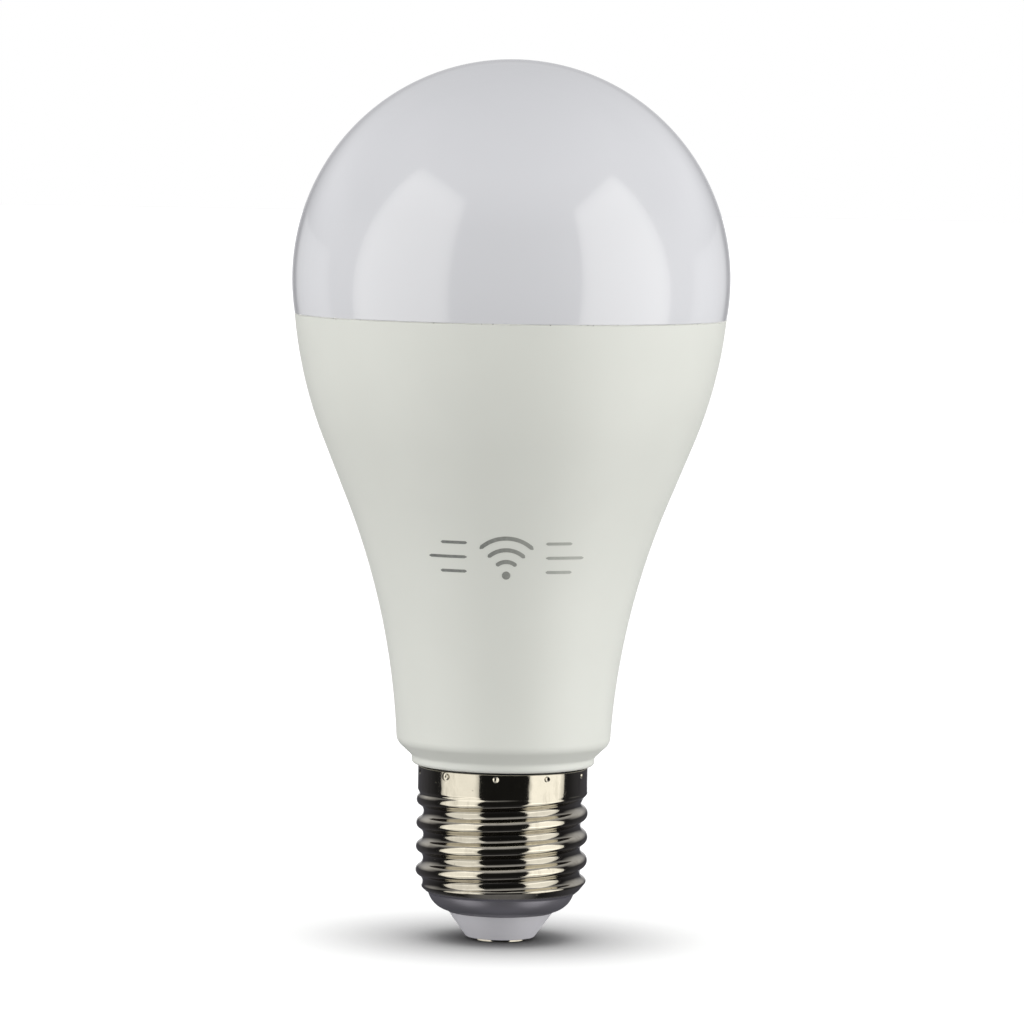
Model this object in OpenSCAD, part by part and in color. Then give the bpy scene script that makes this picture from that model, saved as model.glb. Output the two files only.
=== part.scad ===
// Smart light bulb with a screw cap: milky globe, plastic housing over an aluminium cup, LED board,
// radio board and mains driver. Millimetres. The origin is the middle of the centre contact's lower
// face, +Z points to the globe and -Y is the front.

/* [Overall] */
// Height from the centre contact to the top of the globe
overall_h = 135; // [134.5:0.25:137]

/* [Globe] */
// Outer diameter of the milky globe
globe_d = 67; // [66.5:0.25:68]
// Wall of the globe
globe_wall = 1.5; // [1.2:0.1:1.8]
// Height of the seam between globe and housing
seam_z = 95.8; // [95.6:0.1:96.4]

/* [Housing] */
// Wall of the plastic housing
housing_wall = 1.6; // [1.4:0.1:1.8]
// Open seam between the housing's rim and the globe
seam_gap = 0.15; // [0.1:0.05:0.3]
// Radius of the convex arc under the rim, seen from the side
bulge_r = 68; // [60:1:75]
// Lean of the wall at the rim, from upright
rim_lean = 5.6; // [5:0.1:7]
// Lean of the straight flank
flank_lean = 22.1; // [21.5:0.1:23]
// Lean of the wall where it reaches the neck
neck_lean = 3.3; // [2.5:0.1:4]
// Diameter at the foot of the neck
neck_d = 32.9; // [32:0.1:34]
// Height of the foot of the neck
neck_z = 31.3; // [31:0.1:32]
// Diameter of the collar above the screw cap
collar_d = 28.1; // [27.6:0.1:28.6]

/* [Screw cap] */
// Diameter over the crests of the thread
thread_major_d = 26.4; // [26.1:0.05:26.45]
// Diameter at the roots of the thread
thread_minor_d = 24.2; // [24.1:0.05:24.3]
// Sheet thickness of the shell
shell_gauge = 0.3; // [0.25:0.05:0.35]
// Height of the shell's upper rim
shell_rim_z = 26.85; // [26.6:0.05:26.9]
// Crimp dents around the rim
crimp_count = 10; // [6:1:12]
// Diameter of the centre contact
contact_d = 9.6; // [9:0.1:10]

/* [LED board] */
// White LEDs of each colour temperature
white_led_count = 12; // [8:1:12]
// Red-green-blue LEDs
colour_led_count = 6; // [3:3:6]
// Diameter of the LED board
led_board_d = 57.2; // [56:0.2:58]

/* [Hidden] */
$fn = 96;
eps = 0.01;
play = 0.05;                     // gap between parts that touch

// Globe
globe_r = globe_d / 2;
globe_z = overall_h - globe_r;
globe_inner_r = globe_r - globe_wall;
spigot_r = 31.2;                 // ring under the globe that sits inside the housing's rim
spigot_wall = 1.4;
spigot_z = 93.5;

// Housing outline: convex arc, straight flank, concave arc
rim_z = seam_z - seam_gap;
rim_r = sqrt(globe_r * globe_r - (globe_z - seam_z) * (globe_z - seam_z));
arc_steps = 24;
flank_and_neck = [rim_r - neck_d / 2, rim_z - neck_z]
    - bulge_r * [cos(rim_lean) - cos(flank_lean), sin(flank_lean) - sin(rim_lean)];
neck_arc_r = (cos(flank_lean) * flank_and_neck[0] - sin(flank_lean) * flank_and_neck[1])
    / (cos(flank_lean - neck_lean) - 1);
flank_l = (flank_and_neck[1] - neck_arc_r * (sin(flank_lean) - sin(neck_lean))) / cos(flank_lean);
bulge_centre = [rim_r, rim_z] - bulge_r * [cos(rim_lean), -sin(rim_lean)];
flank_end = bulge_centre + bulge_r * [cos(flank_lean), -sin(flank_lean)]
    - flank_l * [sin(flank_lean), cos(flank_lean)];
neck_centre = flank_end + neck_arc_r * [cos(flank_lean), -sin(flank_lean)];
outline = concat(
    arc_points(bulge_centre, bulge_r, -rim_lean, -flank_lean, arc_steps),
    arc_points(neck_centre, neck_arc_r, 180 - flank_lean, 180 - neck_lean, arc_steps));
outline_table = [for (p = outline) [p[1], p[0]]];

// Foot of the housing, from the neck down to the cap
foot_lean = 46;
foot_arc_r = 2;
foot_centre = [neck_d / 2, neck_z] - foot_arc_r * [cos(neck_lean), -sin(neck_lean)];
collar_r = collar_d / 2;
collar_z = 27;
collar_edge_r = 0.6;
collar_blend_r = 0.8;
collar_blend_z = 27.95;

// Plug of the housing inside the cap
plug_r = 12.6;
plug_step_z = 23.9;
plug_lower_r = 11.65;
plug_lower_z = 22.2;
plug_end_z = 15;
plug_bore_r = 10.2;
plug_bore_top_z = 27.4;
neck_floor = [13.9, 30.9];
rim_recess_r = 31.8;

// Rails that hold the driver board
rail_w = 1.2;
rail_x = 12.4;
rail_z = [33, 43];

// Aluminium cup
cup_gauge = 1;
cup_bottom_z = 44;
ledge_top_z = 92;
ledge_h = 2;
ledge_inner_r = 23.4;

// Thread of the cap
pitch = 25.4 / 7;
major_r = thread_major_d / 2;
minor_r = thread_minor_d / 2;
round_r = 1.025;                 // radius of crests and roots
crest_z = 12.32;                 // height of one crest at +X
band_r = 13.04;
band_z = 24;
thread_end_z = 7.75;             // corner between thread and bowl
thread_cols = 48;
thread_row_z = 7.4;
thread_row_h = 0.4;
bowl_centre = [7.6, 8.1];
bowl_r = 3.75;
bowl_gauge = 0.4;
lip_r = 8.15;
lip_z = 4.25;
crimp_z = 25.95;
crimp_r = 0.65;
crimp_turn = -4.7;               // one dent lies this far to the right of the front
crimp_sink = 0.25;               // the dent's centre lies this far outside the band

// Insulator and contact
insulator_lower_r = 5.3;
insulator_upper = [7.9, 4];
insulator_top_z = 8.4;
contact_h = 0.35;
pin_r = 1;
pin_top_z = 10.5;
pin_bore_r = 0.5;

// LED board
pad_h = 0.2;
led_board_z = ledge_top_z + pad_h;
led_board_h = 1.6;
led_z = led_board_z + led_board_h;
white_ring_r = 20;
colour_ring_r = 12.8;
screw_ring_r = 25.6;
screw_count = 3;
screw_r = 1.2;

// Driver board: a plate across X and Z with tall parts on its front face
board_y = 3;
board_h = 1.2;
board_back_y = board_y + board_h;
board_top_z = 84;
board_outline = [[8.5, 15.5], [8.5, 27], [13.3, 32.5], [13.3, 46], [15.5, 58], [15.5, board_top_z]];

// Output pins: run up the driver board's front face and through the LED board
pin_pitch = 2;
pin_half = 0.3;
output_x = -4;
output_y = board_y - pin_half;
output_w = 8.6;
output_pin_z = 81.3;

// Radio board: stands through a slot in the LED board
radio_size = [15, 0.8, 25];
radio_at = [1.5, -1.6, 80];
radio_slot = [16.2, 1.6];

function arc_points(centre, r, from, to, steps) =
    [for (i = [0 : steps]) let (a = from + (to - from) * i / steps) centre + r * [cos(a), sin(a)]];

function reversed(list) = [for (i = [len(list) - 1 : -1 : 0]) list[i]];

// Outer radius of the housing at a height
function outline_r(z) = lookup(z, outline_table);

// Line that follows the housing's outside, this far inside it, from one height to another
function wall_line(from, to, inset, steps = 32) =
    [for (i = [0 : steps]) let (z = from + (to - from) * i / steps) [outline_r(z) - inset, z]];

// Radius of the round thread, a height u above the nearest crest
function thread_r(u) =
    abs(u) <= pitch / 4
        ? major_r - round_r + sqrt(round_r * round_r - u * u)
        : minor_r + round_r - sqrt(round_r * round_r - pow(pitch / 2 - abs(u), 2));

function from_crest(z, turn) = let (t = (z - crest_z) / pitch - turn / 360) (t - round(t)) * pitch;

// The thread fades into the bowl below and into the plain band above
function below_limit(z) = minor_r + (z < thread_end_z ? 1.2 : 0.8) * (z - thread_end_z);
function above_limit(z) = min(band_r, minor_r + 0.48 * (z - 21.5));
function crest_limit(z) = max(band_r, min(major_r, major_r - 0.3 * (z - 23.3)));

function shell_r(z, turn) =
    max(min(thread_r(from_crest(z, turn)), below_limit(z), crest_limit(z)), above_limit(z));

// A round bar from a to b
module bar(a, b, r) {
    run = b - a;
    translate(a)
        rotate([0, acos(run[2] / norm(run)), atan2(run[1], run[0])])
            cylinder(r = r, h = norm(run));
}

// A wire along a route, with round corners a little thicker than the wire
module wire(route, r) {
    for (i = [0 : len(route) - 2]) bar(route[i], route[i + 1], r);
    for (i = [1 : len(route) - 2]) translate(route[i]) sphere(1.04 * r);
}

module ring(inner, outer, h) {
    difference() {
        cylinder(r = outer, h = h);
        translate([0, 0, -1]) cylinder(r = inner, h = h + 2);
    }
}

module rounded_square(size, r) {
    square([size[0] - 2 * r, size[1]], center = true);
    square([size[0], size[1] - 2 * r], center = true);
    for (x = [-1, 1], y = [-1, 1])
        translate([x * (size[0] / 2 - r), y * (size[1] / 2 - r)]) circle(r);
}

module around(count, r, turn = 0) {
    for (i = [0 : count - 1]) rotate(turn + 360 / count * i) translate([r, 0, 0]) children();
}

// Points an upright part forward, so that its foot stands on the driver board's front face
module on_board(x, z) {
    translate([x, board_y, z]) rotate([90, 0, 0]) children();
}

// The same, on the board's back face
module on_back(x, z) {
    translate([x, board_back_y, z]) rotate([-90, 0, 0]) children();
}

// Places the crimp dents
module at_crimps(r) {
    around(crimp_count, r, 270 + crimp_turn) translate([0, 0, crimp_z]) children();
}

module diffuser_globe() {
    color([0.86, 0.87, 0.9])
    rotate_extrude() {
        difference() {
            intersection() {
                translate([0, globe_z]) circle(globe_r);
                translate([0, seam_z]) square([globe_r + 1, globe_d]);
            }
            translate([0, globe_z]) circle(globe_inner_r);
        }
        polygon([[spigot_r - spigot_wall, spigot_z], [spigot_r, spigot_z], [spigot_r, seam_z + eps],
                 [rim_r - 0.5, seam_z + eps], [rim_r - 0.5, seam_z + 1],
                 [spigot_r - spigot_wall, seam_z + 1.8]]);
    }
}

module diffuser_sealant() {
    color([0.93, 0.93, 0.9])
    translate([0, 0, spigot_z + 0.2])
        ring(spigot_r + play, rim_recess_r - play, rim_z - spigot_z - 0.6);
}

module housing_profile() {
    foot = concat(
        arc_points(foot_centre, foot_arc_r, -neck_lean, -foot_lean, 8),
        arc_points([collar_r + collar_blend_r, collar_blend_z], collar_blend_r,
                   180 - foot_lean, 180, 6),
        arc_points([collar_r - collar_edge_r, collar_z + collar_edge_r], collar_edge_r, 0, -90, 8));
    plug = [[plug_r, collar_z], [plug_r, plug_step_z], [plug_lower_r, plug_lower_z],
            [plug_lower_r, plug_end_z + 0.4], [plug_lower_r - 0.4, plug_end_z],
            [plug_bore_r, plug_end_z], [plug_bore_r, plug_bore_top_z], neck_floor];
    inside = wall_line(neck_z + 1, spigot_z - 0.2, housing_wall);
    rim = [[rim_recess_r, spigot_z - 0.2], [rim_recess_r, rim_z]];
    polygon(concat(outline, foot, plug, inside, rim));
}

module board_rails() {
    for (side = [-1, 1], face = [board_y - play - rail_w, board_back_y + play])
        intersection() {
            translate([side > 0 ? rail_x : -rail_x - 4, face, rail_z[0]])
                cube([4, rail_w, rail_z[1] - rail_z[0]]);
            cylinder(r = outline_r(rail_z[0]) - housing_wall / 2, h = 60);
        }
}

module housing_shell() {
    color([0.92, 0.93, 0.9])
    difference() {
        union() {
            rotate_extrude() housing_profile();
            board_rails();
        }
        at_crimps(band_r + crimp_sink) sphere(crimp_r + shell_gauge + play);
        // slot for the neutral lead, between the plug and the cap
        translate([plug_lower_r - 1, -0.5, plug_end_z - 1]) cube([3, 1, 6]);
    }
}

module heat_sink_cup() {
    inset = housing_wall + play;
    ledge_z = ledge_top_z - ledge_h;
    color([0.75, 0.76, 0.78])
    difference() {
        rotate_extrude()
            polygon(concat(
                wall_line(cup_bottom_z, ledge_top_z, inset),
                [[ledge_inner_r, ledge_top_z], [ledge_inner_r, ledge_z]],
                reversed(wall_line(cup_bottom_z, ledge_z, inset + cup_gauge))));
        around(screw_count, screw_ring_r, 30)
            translate([0, 0, ledge_z - 1]) cylinder(r = screw_r + play, h = ledge_h + 2);
    }
}

module thermal_pad() {
    color([0.55, 0.6, 0.65])
    translate([0, 0, ledge_top_z])
        difference() {
            ring(ledge_inner_r + 0.4, led_board_d / 2 - 0.3, pad_h);
            around(screw_count, screw_ring_r, 30)
                translate([0, 0, -1]) cylinder(r = screw_r + 0.3, h = 3);
        }
}

module led_board() {
    color([0.93, 0.94, 0.95])
    translate([0, 0, led_board_z])
        difference() {
            cylinder(r = led_board_d / 2, h = led_board_h);
            around(screw_count, screw_ring_r, 30)
                translate([0, 0, -1]) cylinder(r = screw_r + 0.2, h = 4);
            translate([radio_at[0] - 0.6, radio_at[1] - 0.4, -1])
                cube([radio_slot[0], radio_slot[1], 4]);
            translate([output_x - output_w / 2, output_y - 0.7, -1]) cube([output_w, 1.4, 4]);
        }
}

module led_board_screws() {
    head_r = 2.3;
    head_h = 1.4;
    color([0.7, 0.7, 0.72])
    around(screw_count, screw_ring_r, 30)
        translate([0, 0, led_z])
            difference() {
                union() {
                    cylinder(r = head_r, h = head_h);
                    translate([0, 0, -4.6]) cylinder(r = screw_r, h = 4.7);
                    translate([0, 0, -5.4]) cylinder(r1 = 0.3, r2 = screw_r, h = 0.9);
                }
                for (turn = [0, 90])
                    rotate(turn) translate([-1.3, -0.3, head_h - 0.8]) cube([2.6, 0.6, 2]);
            }
}

// A flat LED package with a round window
module led(size, h, window_r) {
    difference() {
        translate([-size[0] / 2, -size[1] / 2, 0]) cube([size[0], size[1], h]);
        translate([0, 0, h - 0.12]) cylinder(r = window_r, h = 1);
    }
}

module warm_leds() {
    color([0.95, 0.75, 0.25])
    around(white_led_count, white_ring_r) translate([0, 0, led_z]) led([2.8, 3.5], 0.8, 1.1);
}

module cool_leds() {
    color([0.95, 0.9, 0.45])
    around(white_led_count, white_ring_r, 180 / white_led_count)
        translate([0, 0, led_z]) led([2.8, 3.5], 0.8, 1.1);
}

module colour_leds() {
    color([0.95, 0.95, 0.95])
    around(colour_led_count, colour_ring_r, 30) translate([0, 0, led_z]) led([5, 5], 1.6, 1.9);
}

module driver_output_pins() {
    color([0.85, 0.7, 0.35])
    for (i = [-1.5 : 1.5])
        translate([output_x + i * pin_pitch - pin_half, output_y - pin_half, output_pin_z])
            cube([2 * pin_half, 2 * pin_half, led_z + 2.6 - output_pin_z]);
}

module led_board_socket() {
    size = [output_w, 3.4, 2.2];
    hole = pin_half + play;
    color([0.95, 0.95, 0.93])
    difference() {
        translate([output_x - size[0] / 2, output_y - size[1] / 2, led_z]) cube(size);
        for (i = [-1.5 : 1.5])
            translate([output_x + i * pin_pitch - hole, output_y - hole, led_z - 1])
                cube([2 * hole, 2 * hole, 6]);
    }
}

module wifi_board() {
    color([0.1, 0.35, 0.25])
    translate(radio_at)
        difference() {
            cube(radio_size);
            for (i = [0 : 4])
                translate([2.5 + 2.5 * i, -1, 2.2])
                    rotate([-90, 0, 0]) cylinder(r = 0.4, h = 3);
        }
}

module wifi_shield_can() {
    color([0.78, 0.79, 0.8])
    translate([radio_at[0] + 1.5, radio_at[1] - 2, 84])
        difference() {
            cube([12, 2, 8]);
            translate([0.2, 0.2, 0.2]) cube([11.6, 2, 7.6]);
        }
}

module wifi_antenna() {
    arms = 6;
    step = 2;
    track = 0.6;
    copper = 0.1;
    color([0.85, 0.6, 0.3])
    translate([radio_at[0] + 1.5, radio_at[1] - copper, 99]) {
        for (i = [0 : arms]) translate([i * step, 0, 0]) cube([track, copper, 5]);
        for (i = [0 : arms - 1])
            translate([i * step, 0, i % 2 == 0 ? 5 - track : 0]) cube([step + track, copper, track]);
        cube([track, copper, 5]);
    }
}

module wifi_header() {
    block_y = radio_at[1] + radio_size[1];
    color([0.12, 0.12, 0.13])
    union() {
        translate([radio_at[0] + 1.2, block_y, 81]) cube([12.6, board_y - block_y, 2.4]);
        for (i = [0 : 4])
            translate([radio_at[0] + 2.5 + 2.5 * i, radio_at[1] - 0.8, 82.2])
                rotate([-90, 0, 0]) cylinder(r = 0.35, h = 2);
    }
}

module driver_board() {
    half = board_outline;
    other = [for (p = reversed(half)) [-p[0], p[1]]];
    color([0.16, 0.42, 0.24])
    translate([0, board_back_y, 0])
        rotate([90, 0, 0])
            linear_extrude(board_h)
                polygon(concat(half, other));
}

fuse_x = -4;
fuse_y = -0.4;

module fuse_resistor() {
    color([0.55, 0.7, 0.75])
    translate([fuse_x, fuse_y, 17]) {
        for (z = [0, 6.4]) translate([0, 0, z]) cylinder(r = 1.6, h = 1.8);
        cylinder(r = 1.35, h = 8.2);
    }
}

module fuse_sleeve() {
    color([0.2, 0.2, 0.22])
    translate([fuse_x, fuse_y, 16.4]) ring(1.6 + play, 1.95, 9.4);
}

module varistor() {
    color([0.15, 0.35, 0.7])
    union() {
        translate([7, -2.6, 34.8]) cylinder(r = 3.7, h = 3.4);
        for (x = [5, 9]) bar([x, -1, 36.5], [x, board_y, 36.5], 0.35);
    }
}

module bridge_rectifier() {
    color([0.1, 0.1, 0.11])
    on_back(0, 40) {
        translate([-2.4, -2, 0.15]) cube([4.8, 4, 2.3]);
        for (x = [-3.3, 2.3], y = [-1.5, 0.9]) translate([x, y, 0]) cube([1, 0.6, 0.8]);
    }
}

drum_x = -7;
drum_z = 38;

module filter_inductor_core() {
    color([0.2, 0.2, 0.21])
    on_board(drum_x, drum_z) {
        cylinder(r = 4, h = 1.3);
        cylinder(r = 1.8, h = 9);
        translate([0, 0, 7.7]) cylinder(r = 4, h = 1.3);
    }
}

module filter_inductor_winding() {
    color([0.72, 0.36, 0.16])
    on_board(drum_x, drum_z) translate([0, 0, 1.3 + play]) ring(1.8 + play, 3.6, 6.3);
}

module film_capacitor() {
    size = [12.5, 5.6, 9.6];
    color([0.85, 0.65, 0.12])
    on_board(-5.6, 47.8) {
        translate([-size[0] / 2, -size[1] / 2, 0.6]) cube(size);
        for (x = [-5, 5]) translate([x, 0, 0]) cylinder(r = 0.35, h = 1);
    }
}

bulk_r = 6;
bulk_l = 19;
bulk_at = [7.2, board_y - bulk_r - 0.8, 53];

module bulk_capacitor_can() {
    color([0.8, 0.81, 0.82])
    translate(bulk_at)
        difference() {
            rotate_extrude()
                polygon([[0, 0], [bulk_r - 0.4, 0], [bulk_r - 0.4, 1.6], [bulk_r - 0.8, 2.1],
                         [bulk_r - 0.4, 2.6], [bulk_r - 0.4, bulk_l - 0.8],
                         [bulk_r - 1.2, bulk_l], [0, bulk_l]]);
            for (turn = [0, 90])
                rotate(turn) translate([-3.5, -0.2, bulk_l - 0.3]) cube([7, 0.4, 1]);
        }
}

module bulk_capacitor_sleeve() {
    color([0.1, 0.14, 0.3])
    translate(bulk_at)
        difference() {
            translate([0, 0, -0.3]) cylinder(r = bulk_r, h = bulk_l - 0.3);
            translate([0, 0, -1]) cylinder(r = bulk_r - 0.35, h = bulk_l + 2);
        }
}

// Transformer: two E cores around a bobbin, its leg along Z
trafo_at = [-7, -2.6, 59];
core_size = [13, 6, 13];
leg = [3, 6];
window = [3.2, 9.4];

module transformer_core() {
    color([0.24, 0.24, 0.25])
    translate(trafo_at)
        difference() {
            translate([-core_size[0] / 2, -core_size[1] / 2, 0]) cube(core_size);
            for (x = [-leg[0] / 2 - window[0], leg[0] / 2])
                translate([x, -5, (core_size[2] - window[1]) / 2]) cube([window[0], 10, window[1]]);
        }
}

module transformer_bobbin() {
    flange = [9, 9.8, 0.8];
    low = (core_size[2] - window[1]) / 2 + play;
    high = low + window[1] - 2 * play;
    color([0.13, 0.13, 0.14])
    translate(trafo_at)
        difference() {
            union() {
                translate([-2.4, -4, low]) cube([4.8, 8, high - low]);
                for (z = [low, high - flange[2]])
                    translate([-flange[0] / 2, -flange[1] / 2, z]) cube(flange);
                for (x = [-3.2, 0, 3.2], z = [low + 0.4, high - 0.4])
                    bar([x, 4, z], [x, board_y - trafo_at[1], z], 0.35);
            }
            translate([-leg[0] / 2 - play, -leg[1] / 2 - play, 0])
                cube([leg[0] + 2 * play, leg[1] + 2 * play, core_size[2]]);
        }
}

module transformer_winding() {
    low = (core_size[2] - window[1]) / 2 + 0.95;
    color([0.88, 0.75, 0.2])
    translate([trafo_at[0], trafo_at[1], trafo_at[2] + low])
        linear_extrude(window[1] - 1.9)
            difference() {
                rounded_square([8.6, 9.6], 1.2);
                square([4.9, 8.1], center = true);
            }
}

module output_capacitor() {
    r = 4;
    h = 11;
    color([0.12, 0.2, 0.42])
    on_board(-9.5, 77)
        rotate_extrude()
            polygon([[0, 0.3], [r, 0.3], [r, 1.6], [r - 0.4, 2], [r, 2.4], [r, h - 0.4],
                     [r - 0.4, h], [r - 1.4, h], [r - 1.5, h - 0.3], [0, h - 0.3]]);
}

module output_diode() {
    color([0.1, 0.1, 0.11])
    on_back(-8, 74) {
        translate([-2.2, -1.3, 0.1]) cube([4.4, 2.6, 2.1]);
        for (x = [-2.7, 1.7]) translate([x, -0.75, 0]) cube([1, 1.5, 0.9]);
    }
}

module driver_ic() {
    color([0.12, 0.12, 0.13])
    on_back(3, 60) {
        translate([-2.45, -1.95, 0.15]) cube([4.9, 3.9, 1.45]);
        for (i = [-1.5 : 1.5], y = [-3, 1.9]) translate([i * 1.27 - 0.2, y, 0]) cube([0.4, 1.1, 0.4]);
    }
}

module smd_resistors() {
    color([0.08, 0.08, 0.09])
    for (x = [-10, -5], z = [50 : 4 : 66]) on_back(x, z) translate([-1.6, -0.8, 0]) cube([3.2, 1.6, 0.6]);
}

module live_lead() {
    r = 0.4;
    color([0.75, 0.12, 0.1])
    union() {
        wire([[0, 0, pin_top_z - 0.6], [0, 0, 12.5], [fuse_x, fuse_y, 14.8], [fuse_x, fuse_y, 17]], r);
        wire([[fuse_x, fuse_y, 25.2], [fuse_x, fuse_y, 28], [fuse_x, board_y, 28]], r);
    }
}

module neutral_lead() {
    color([0.1, 0.2, 0.6])
    wire([[6, board_y, 20], [6, 0, 20], [8.6, 0, 14], [11.15, 0, 14], [11.15, 0, 19.5]], 0.4);
}

// The shell's sheet: bowl and thread are one closed surface, up one side of the sheet and down the
// other. A row is [radius, height], and the thread's rows leave the radius to shell_r.
thread_zs = [for (z = [thread_row_z : thread_row_h : band_z - 0.1]) z];
seat = [[band_r - 0.09, band_z + 0.05], [band_r - 0.09, band_z + 0.4]];
seat_inside = [[band_r - 0.24, band_z + 0.4], [band_r - 0.24, band_z + 0.05]];
outer_rows = concat(
    [[lip_r, lip_z]],
    arc_points(bowl_centre, bowl_r, -80, -14, 7),
    [for (z = thread_zs) [undef, z]],
    seat);
inner_rows = concat(
    seat_inside,
    [for (i = [len(thread_zs) - 1 : -2 : 1]) [undef, thread_zs[i]]],
    arc_points(bowl_centre, bowl_r - bowl_gauge, -14, -80, 5),
    [[lip_r, lip_z + bowl_gauge]]);

module bowl_and_thread() {
    cols = thread_cols;
    rows = concat(outer_rows, inner_rows);
    points = [for (i = [0 : len(rows) - 1], col = [0 : cols - 1])
        let (z = rows[i][1], turn = 360 * col / cols, inset = i < len(outer_rows) ? 0 : shell_gauge,
             r = is_undef(rows[i][0]) ? shell_r(z, turn) - inset : rows[i][0])
        [r * cos(turn), r * sin(turn), z]];
    faces = [for (i = [0 : len(rows) - 1], col = [0 : cols - 1], half = [0, 1])
        let (next = (i + 1) % len(rows), a = i * cols + col, b = i * cols + (col + 1) % cols,
             c = next * cols + (col + 1) % cols, d = next * cols + col)
        half == 0 ? [a, c, b] : [a, d, c]];
    polyhedron(points, faces);
}

module screw_shell() {
    color([0.72, 0.71, 0.68])
    difference() {
        union() {
            bowl_and_thread();
            translate([0, 0, band_z]) ring(band_r - shell_gauge, band_r, shell_rim_z - band_z);
            intersection() {
                at_crimps(band_r + crimp_sink) sphere(crimp_r + shell_gauge);
                cylinder(r = band_r - shell_gauge / 2, h = 60);
            }
        }
        at_crimps(band_r + crimp_sink) sphere(crimp_r);
    }
}

module cap_insulator() {
    inner_bowl_r = bowl_r - bowl_gauge - play;
    color([0.88, 0.87, 0.91])
    difference() {
        rotate_extrude()
            polygon(concat(
                [[0, contact_h], [insulator_lower_r, contact_h], insulator_upper,
                 [insulator_upper[0], 4.75]],
                arc_points(bowl_centre, inner_bowl_r, -80, -14, 10),
                [[bowl_centre[0] + inner_bowl_r * cos(14), insulator_top_z],
                 [3, insulator_top_z], [2.4, 9.6], [0, 9.6]]));
        translate([0, 0, -1]) cylinder(r = pin_r + play, h = 12);
    }
}

module centre_contact() {
    r = contact_d / 2;
    color([0.78, 0.78, 0.76])
    difference() {
        rotate_extrude()
            polygon([[0, 0], [r - 0.12, 0], [r, 0.12], [r, contact_h], [pin_r, contact_h],
                     [pin_r, pin_top_z], [0, pin_top_z]]);
        translate([0, 0, pin_top_z - 4]) cylinder(r = pin_bore_r, h = 5);
    }
}

diffuser_globe();
diffuser_sealant();
housing_shell();
heat_sink_cup();
thermal_pad();
led_board();
led_board_screws();
warm_leds();
cool_leds();
colour_leds();
led_board_socket();
driver_output_pins();
wifi_board();
wifi_shield_can();
wifi_antenna();
wifi_header();
driver_board();
fuse_resistor();
fuse_sleeve();
varistor();
bridge_rectifier();
filter_inductor_core();
filter_inductor_winding();
film_capacitor();
bulk_capacitor_can();
bulk_capacitor_sleeve();
transformer_core();
transformer_bobbin();
transformer_winding();
output_capacitor();
output_diode();
driver_ic();
smd_resistors();
live_lead();
neutral_lead();
screw_shell();
cap_insulator();
centre_contact();
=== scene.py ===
"""Looks of the smart light bulb: Blender 4.5, metres, in the CAD's own frame.

The origin is the middle of the centre contact's lower face, +Z points to the globe and -Y is the
front. Sizes here are in millimetres, and MM turns them into metres.
"""

import math

import bmesh
import bpy
from mathutils import Matrix, Vector, noise


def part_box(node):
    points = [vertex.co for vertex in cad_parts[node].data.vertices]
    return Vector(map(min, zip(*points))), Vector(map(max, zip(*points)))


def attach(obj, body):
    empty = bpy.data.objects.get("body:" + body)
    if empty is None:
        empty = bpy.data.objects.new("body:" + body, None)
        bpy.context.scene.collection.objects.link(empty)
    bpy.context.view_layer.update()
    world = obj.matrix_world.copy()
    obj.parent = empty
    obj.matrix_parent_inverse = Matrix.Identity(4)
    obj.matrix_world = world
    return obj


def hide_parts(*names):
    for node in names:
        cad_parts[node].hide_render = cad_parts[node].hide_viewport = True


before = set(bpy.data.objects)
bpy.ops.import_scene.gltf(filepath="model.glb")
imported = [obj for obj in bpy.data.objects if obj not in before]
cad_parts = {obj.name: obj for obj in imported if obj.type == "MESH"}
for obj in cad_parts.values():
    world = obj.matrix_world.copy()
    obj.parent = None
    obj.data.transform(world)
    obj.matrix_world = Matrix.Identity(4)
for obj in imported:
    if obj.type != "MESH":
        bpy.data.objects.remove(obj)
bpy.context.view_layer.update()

MM = 0.001

# ---------------------------------------------------------------------------------------------
# Sizes, in millimetres
# ---------------------------------------------------------------------------------------------

# Globe
GLOBE_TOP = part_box("diffuser_globe")[1].z / MM
GLOBE_R = 33.5
GLOBE_Z = GLOBE_TOP - GLOBE_R
GLOBE_WALL = 1.5
GLOBE_EDGE_R = 0.07
GLOBE_COLUMNS = 224
SPIGOT_R = 31.2
SPIGOT_WALL = 1.4
SPIGOT_EDGE = 0.2
SPIGOT_ROOT = 1.8
SPIGOT_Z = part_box("diffuser_globe")[0].z / MM

# Housing
SEAM_Z = 95.8
RIM_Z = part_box("housing_shell")[1].z / MM
RIM_R = math.sqrt(GLOBE_R**2 - (GLOBE_Z - SEAM_Z) ** 2)
RIM_EDGE_R = 0.07
BULGE_R = 68
RIM_LEAN = math.radians(5.6)
FLANK_LEAN = math.radians(22.1)
NECK_LEAN = math.radians(3.3)
NECK_R = 16.45
NECK_Z = 31.3
FOOT_LEAN = math.radians(46)
FOOT_ARC_R = 2
COLLAR_R = 14.05
COLLAR_Z = 27
COLLAR_EDGE_R = 0.6
COLLAR_FILLET = (27.95, 0.8)  # height of its centre, and radius
GAP_SHADE_DEPTH = (0.01, 0.05)  # painted shade in the gap under the collar fades in over these depths
HOUSING_WALL = 1.6
HOUSING_COLUMNS = 224
INNER_SPAN = (33, 93.3)
SEAT_R = 31.8
PLUG_R = (12.6, 11.65)  # above and below the step
PLUG_STEP = (23.9, 22.2)
PLUG_EDGE = 0.4
PLUG_END_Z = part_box("housing_shell")[0].z / MM
BORE_R = 10.2
BORE_FLARE = ((10.2, 27.4), (13.9, 30.9))
RAIL_SPAN = (12.4, 15.6)
RAIL_FACES = (1.75, 4.25)
RAIL_THICK = 1.2
RAIL_Z = (33, 43)

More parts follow.
